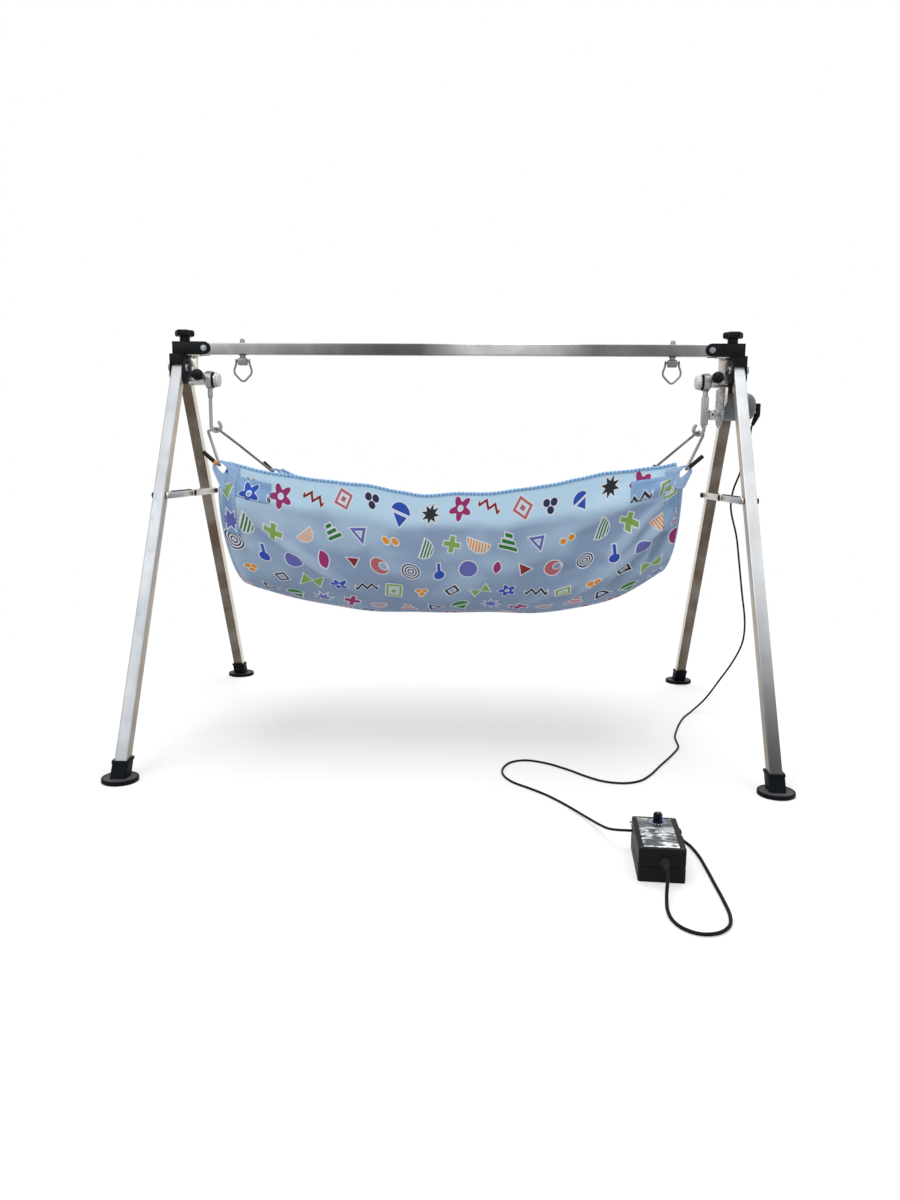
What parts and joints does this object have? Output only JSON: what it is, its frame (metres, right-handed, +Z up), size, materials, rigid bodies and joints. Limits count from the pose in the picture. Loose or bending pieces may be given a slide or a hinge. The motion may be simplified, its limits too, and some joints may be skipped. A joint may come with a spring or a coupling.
{
  "type": "hanging baby cradle",
  "caption": "Folding tube-frame cradle with a swinging cloth bed hung on spreader wires, a gear motor drive and a speed control box on a lead.",
  "frame": {"origin": "on the floor, midway between the four feet", "axes": "+X along the top bar towards the motor end, +Y away from the front of the cradle, +Z up"},
  "size_m": [1.1013, 1.195, 0.723],
  "materials": {
    "tube_steel": "satin",
    "stainless": "polished",
    "cast_steel": "satin",
    "galvanised": "mottled",
    "black_metal": "satin",
    "black_plastic": "satin",
    "foot_rubber": "matte",
    "motor_paint": "satin",
    "cloth": "woven",
    "cord": "satin",
    "board": "matte"
  },
  "bodies": {
    "stand": {"top_bar": "tube_steel", "left_bar_bracket": "black_metal", "left_bracket_bolt": "stainless", "left_head": "black_metal", "left_front_leg_bolt": "stainless", "left_back_leg_bolt": "stainless", "left_pivot_bracket": "stainless", "left_axle_cap": "stainless", "left_toy_hook": "stainless", "right_bar_bracket": "black_metal", "right_bracket_bolt": "stainless", "right_head": "black_metal", "right_front_leg_bolt": "stainless", "right_back_leg_bolt": "stainless", "right_pivot_bracket": "stainless", "right_axle_cap": "stainless", "right_toy_hook": "stainless", "motor_plate": "galvanised", "gear_motor": "motor_paint", "motor_lead_plug": "black_plastic", "box_base": "black_plastic", "box_lid": "black_plastic", "strain_relief": "black_plastic", "circuit_board": "board", "motor_lead": "cord", "mains_lead": "cord", "mains_coil": "cord", "mains_plug": "black_plastic"},
    "swing": {"left_hanger": "cast_steel", "right_hanger": "cast_steel", "right_hook": "cast_steel", "left_bearing": "stainless", "right_bearing": "stainless", "left_spreader_wire": "cast_steel", "right_spreader_wire": "cast_steel", "cloth_bed": "cloth"},
    "left_front_leg": {"left_front_leg": "tube_steel", "left_front_foot": "foot_rubber", "left_front_stay_bolt": "stainless"},
    "left_front_stay": {"left_front_stay_link": "black_metal"},
    "left_back_leg": {"left_back_leg": "tube_steel", "left_back_foot": "foot_rubber", "left_back_stay_bolt": "stainless"},
    "left_back_stay": {"left_back_stay_link": "stainless"},
    "left_star_knob": {"left_star_knob": "black_plastic"},
    "left_ball_knob": {"left_ball_knob": "black_plastic"},
    "left_toy_ring": {"left_toy_ring": "stainless"},
    "right_front_leg": {"right_front_leg": "tube_steel", "right_front_foot": "foot_rubber", "right_front_stay_bolt": "stainless"},
    "right_front_stay": {"right_front_stay_link": "black_metal"},
    "right_back_leg": {"right_back_leg": "tube_steel", "right_back_foot": "foot_rubber", "right_back_stay_bolt": "stainless"},
    "right_back_stay": {"right_back_stay_link": "stainless"},
    "right_star_knob": {"right_star_knob": "black_plastic"},
    "right_ball_knob": {"right_ball_knob": "black_plastic"},
    "right_toy_ring": {"right_toy_ring": "stainless"},
    "crank": {"crank": "stainless"},
    "speed_dial": {"speed_dial": "black_plastic"}
  },
  "joints": [
    {"name": "swing", "type": "hinge", "parent": "stand", "child": "swing", "pos_m": [0, 0, 0.635], "axis": [1, 0, 0], "range_deg": [-30, 30]},
    {"name": "left_front_fold", "type": "hinge", "parent": "stand", "child": "left_front_leg", "pos_m": [-0.5, -0.016, 0.655], "axis": [1, 0, 0], "range_deg": [0, 26.5]},
    {"name": "left_front_stay_fold", "type": "hinge", "parent": "left_front_leg", "child": "left_front_stay", "pos_m": [-0.487, -0.1359, 0.43005], "axis": [1, 0, 0], "range_deg": [0, 54]},
    {"name": "left_back_fold", "type": "hinge", "parent": "stand", "child": "left_back_leg", "pos_m": [-0.5, 0.016, 0.655], "axis": [1, 0, 0], "range_deg": [-26.5, 0]},
    {"name": "left_back_stay_fold", "type": "hinge", "parent": "left_back_leg", "child": "left_back_stay", "pos_m": [-0.487, 0.1359, 0.43005], "axis": [1, 0, 0], "range_deg": [-54, 0]},
    {"name": "left_star_knob_turn", "type": "hinge", "parent": "stand", "child": "left_star_knob", "pos_m": [-0.4923, 0, 0.71], "axis": [0, 0, 1], "continuous": true},
    {"name": "left_ball_knob_turn", "type": "hinge", "parent": "stand", "child": "left_ball_knob", "pos_m": [-0.4625, -0.02, 0.6415], "axis": [0, 1, 0], "continuous": true},
    {"name": "left_toy_ring_swing", "type": "hinge", "parent": "stand", "child": "left_toy_ring", "pos_m": [-0.387, 0, 0.669], "axis": [1, 0, 0], "range_deg": [-80, 80]},
    {"name": "right_front_fold", "type": "hinge", "parent": "stand", "child": "right_front_leg", "pos_m": [0.5, -0.016, 0.655], "axis": [1, 0, 0], "range_deg": [0, 8]},
    {"name": "right_front_stay_fold", "type": "hinge", "parent": "right_front_leg", "child": "right_front_stay", "pos_m": [0.487, -0.1359, 0.43005], "axis": [1, 0, 0], "range_deg": [0, 32.7]},
    {"name": "right_back_fold", "type": "hinge", "parent": "stand", "child": "right_back_leg", "pos_m": [0.5, 0.016, 0.655], "axis": [1, 0, 0], "range_deg": [-8, 0]},
    {"name": "right_back_stay_fold", "type": "hinge", "parent": "right_back_leg", "child": "right_back_stay", "pos_m": [0.487, 0.1359, 0.43005], "axis": [1, 0, 0], "range_deg": [-32.7, 0]},
    {"name": "right_star_knob_turn", "type": "hinge", "parent": "stand", "child": "right_star_knob", "pos_m": [0.4923, 0, 0.71], "axis": [0, 0, 1], "continuous": true},
    {"name": "right_ball_knob_turn", "type": "hinge", "parent": "stand", "child": "right_ball_knob", "pos_m": [0.4625, -0.02, 0.6415], "axis": [0, 1, 0], "continuous": true},
    {"name": "right_toy_ring_swing", "type": "hinge", "parent": "stand", "child": "right_toy_ring", "pos_m": [0.387, 0, 0.669], "axis": [1, 0, 0], "range_deg": [-80, 80]},
    {"name": "crank_turn", "type": "hinge", "parent": "stand", "child": "crank", "pos_m": [0.465, 0, 0.5785], "axis": [1, 0, 0], "continuous": true},
    {"name": "speed_dial_turn", "type": "hinge", "parent": "stand", "child": "speed_dial", "pos_m": [0.28086, -0.59029, 0.048], "axis": [0, 0, 1], "range_deg": [-140, 140]}
  ],
  "couplings": [
    {"joint": "left_back_fold", "follows": "left_front_fold", "ratio": -1},
    {"joint": "left_front_stay_fold", "follows": "left_front_fold", "ratio": 2.03},
    {"joint": "left_back_stay_fold", "follows": "left_front_fold", "ratio": -2.03},
    {"joint": "right_back_fold", "follows": "right_front_fold", "ratio": -1},
    {"joint": "right_front_stay_fold", "follows": "right_front_fold", "ratio": 4.06},
    {"joint": "right_back_stay_fold", "follows": "right_front_fold", "ratio": -4.06}
  ]
}
